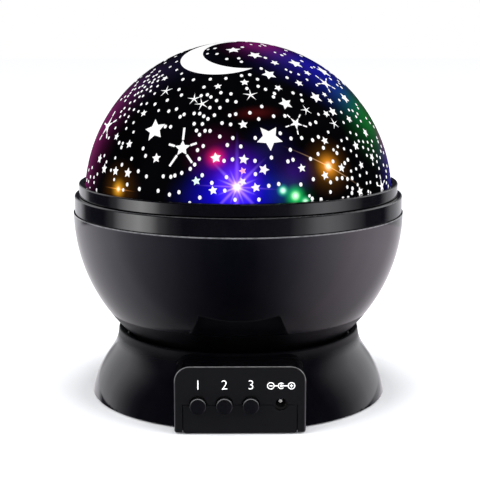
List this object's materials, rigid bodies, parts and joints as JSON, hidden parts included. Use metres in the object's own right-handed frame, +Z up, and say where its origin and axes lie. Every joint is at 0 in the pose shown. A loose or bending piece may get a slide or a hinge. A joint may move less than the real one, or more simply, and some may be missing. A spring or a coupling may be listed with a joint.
{
  "type": "star night light projector",
  "caption": "Bedside night light with a round starry dome on a turning bowl, held by a flared base with three push buttons and a low-voltage power inlet.",
  "frame": {"origin": "on the floor under the middle of the bounding box, on the dome's axis", "axes": "+Z up along the dome's axis, front with the buttons towards -Y, +X to the right seen from the front"},
  "size_m": [0.131, 0.131, 0.1401],
  "materials": {
    "black_gloss": "glossy moulded ABS",
    "black_satin": "fine satin texture",
    "rubber_black": "matte",
    "clear_dome": "clear polished",
    "sky_print": "printed black film",
    "board_green": "solder-masked board",
    "board_white": "white solder mask",
    "switch_black": "moulded",
    "contact_steel": "nickel plated",
    "screw_steel": "zinc plated",
    "shaft_steel": "ground",
    "plate_steel": "zinc plated",
    "motor_steel": "plated can",
    "pin_brass": "nickel plated brass",
    "gear_white": "natural acetal",
    "gearbox_white": "moulded",
    "lamp_white": "water clear",
    "lamp_red": "tinted",
    "lamp_blue": "tinted",
    "lamp_green": "tinted",
    "lead_red": "insulation",
    "lead_grey": "insulation"
  },
  "bodies": {
    "base": {"base_shell": "black_gloss", "bottom_cover": "black_gloss", "rubber_feet": "rubber_black", "cover_screws": "screw_steel", "battery_contacts": "contact_steel", "control_board": "board_green", "board_screws": "screw_steel", "control_chip": "switch_black", "switch_bodies": "switch_black", "jack_body": "switch_black", "jack_pin": "pin_brass", "lamp_harness": "lead_grey", "motor_lead": "lead_red", "battery_lead": "lead_red", "thrust_washer": "gear_white", "motor_plate": "plate_steel", "plate_screws": "screw_steel", "gearbox": "gearbox_white", "motor_can": "motor_steel", "motor_screws": "screw_steel", "lamp_post": "black_satin", "lamp_board": "board_white", "lamp_screws": "screw_steel", "white_lamp": "lamp_white", "red_lamp": "lamp_red", "blue_lamp": "lamp_blue", "green_lamp": "lamp_green"},
    "bowl": {"bowl_shell": "black_gloss", "hub_bush": "gear_white", "ring_gear": "gear_white", "rim_ring": "black_gloss", "inner_cover": "black_satin", "inner_cover_screws": "screw_steel"},
    "pinion": {"drive_pinion": "gear_white", "output_shaft": "shaft_steel"},
    "dome": {"dome_ring": "black_gloss", "dome_shell": "clear_dome", "star_mask": "sky_print"},
    "door": {"battery_door": "black_satin"},
    "control_1": {"button_1": "black_satin", "plunger_1": "switch_black"},
    "control_2": {"button_2": "black_satin", "plunger_2": "switch_black"},
    "control_3": {"button_3": "black_satin", "plunger_3": "switch_black"}
  },
  "joints": [
    {"name": "bowl_spin", "type": "hinge", "parent": "base", "child": "bowl", "pos_m": [0, 0, 0.0243], "axis": [0, 0, 1], "continuous": true},
    {"name": "pinion_spin", "type": "hinge", "parent": "base", "child": "pinion", "pos_m": [0, 0.025, 0.0243], "axis": [0, 0, 1], "continuous": true},
    {"name": "dome_twist", "type": "hinge", "parent": "bowl", "child": "dome", "pos_m": [0, 0, 0.0804], "axis": [0, 0, 1], "range_deg": [-28, 0]},
    {"name": "door_swing", "type": "hinge", "parent": "base", "child": "door", "pos_m": [0, -0.0093, 0.0023], "axis": [-1, 0, 0], "range_deg": [0, 95]},
    {"name": "press_1", "type": "slide", "parent": "base", "child": "control_1", "axis": [0, 1, 0], "range_m": [0, 0.0008], "stiffness_N_per_m": 400, "springref_m": -0.0005},
    {"name": "press_2", "type": "slide", "parent": "base", "child": "control_2", "axis": [0, 1, 0], "range_m": [0, 0.0008], "stiffness_N_per_m": 400, "springref_m": -0.0005},
    {"name": "press_3", "type": "slide", "parent": "base", "child": "control_3", "axis": [0, 1, 0], "range_m": [0, 0.0008], "stiffness_N_per_m": 400, "springref_m": -0.0005}
  ],
  "couplings": [
    {"joint": "pinion_spin", "follows": "bowl_spin", "ratio": 4.3333}
  ]
}
